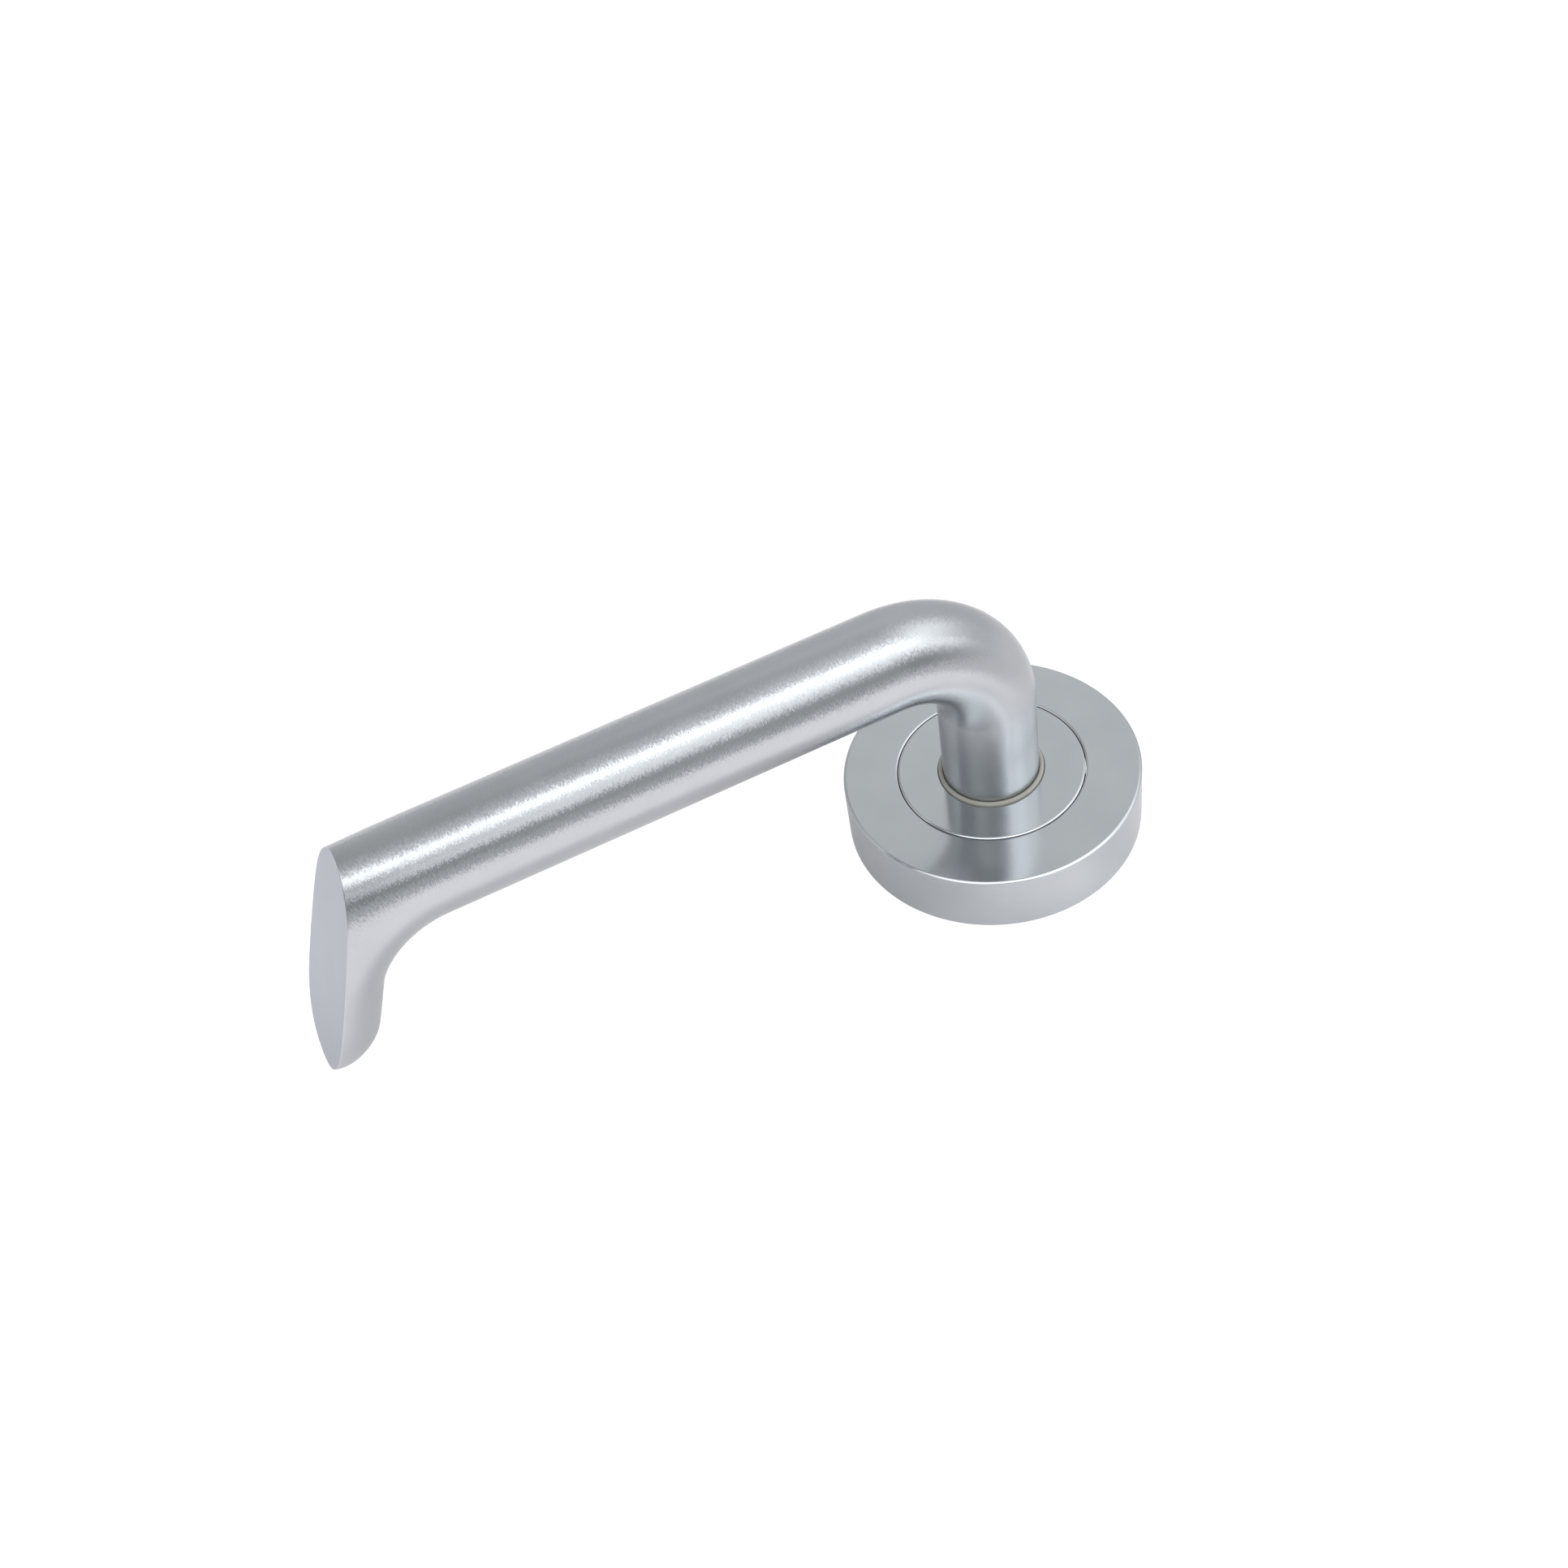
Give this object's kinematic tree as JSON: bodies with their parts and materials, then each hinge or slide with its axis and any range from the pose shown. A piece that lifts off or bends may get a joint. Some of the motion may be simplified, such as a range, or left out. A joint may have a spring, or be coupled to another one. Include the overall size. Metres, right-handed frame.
{
  "type": "door lever handle",
  "caption": "Satin steel lever handle with a flat-ended return leg, on a round rose with a cover ring, centre disc and sprung bearing.",
  "frame": {"origin": "on the spindle's axis, in the plane of the rose's back, which lies on the door", "axes": "+Z along the spindle out of the door, the grip points along -X, and +Y is down on the door"},
  "size_m": [0.1483, 0.052, 0.0757],
  "materials": {
    "satin_steel": "satin, fine scratches across the bar",
    "turned_steel": "satin, turned in fine circles",
    "plain_steel": "bright zinc plated",
    "black_steel": "black oxide",
    "zinc": "die-cast, matt",
    "nylon": "natural nylon, smooth"
  },
  "bodies": {
    "rose": {"base_plate": "zinc", "spring_housing": "zinc", "centre_disc": "turned_steel", "neck_bush": "nylon", "cover_grip_ring": "nylon", "return_spring": "plain_steel", "fixing_lug_upper": "plain_steel", "fixing_lug_lower": "plain_steel", "housing_screw_1": "black_steel", "housing_screw_2": "black_steel", "housing_screw_3": "black_steel", "housing_screw_4": "black_steel", "stop_pin_1": "plain_steel", "stop_pin_2": "plain_steel"},
    "lever": {"lever": "satin_steel", "grub_screw": "black_steel", "spindle": "plain_steel", "rotor": "plain_steel", "circlip": "black_steel", "wave_washer": "plain_steel"},
    "cover": {"rose_cover": "turned_steel"}
  },
  "joints": [
    {"name": "lever_turn", "type": "hinge", "parent": "rose", "child": "lever", "pos_m": [0, 0, 0], "axis": [0, 0, -1], "range_deg": [0, 40], "stiffness_Nm_per_rad": 0.9, "springref_deg": -22.92, "deforming": ["return_spring"]},
    {"name": "cover_lift", "type": "slide", "parent": "rose", "child": "cover", "axis": [0, 0, 1], "range_m": [0, 0.02]}
  ]
}
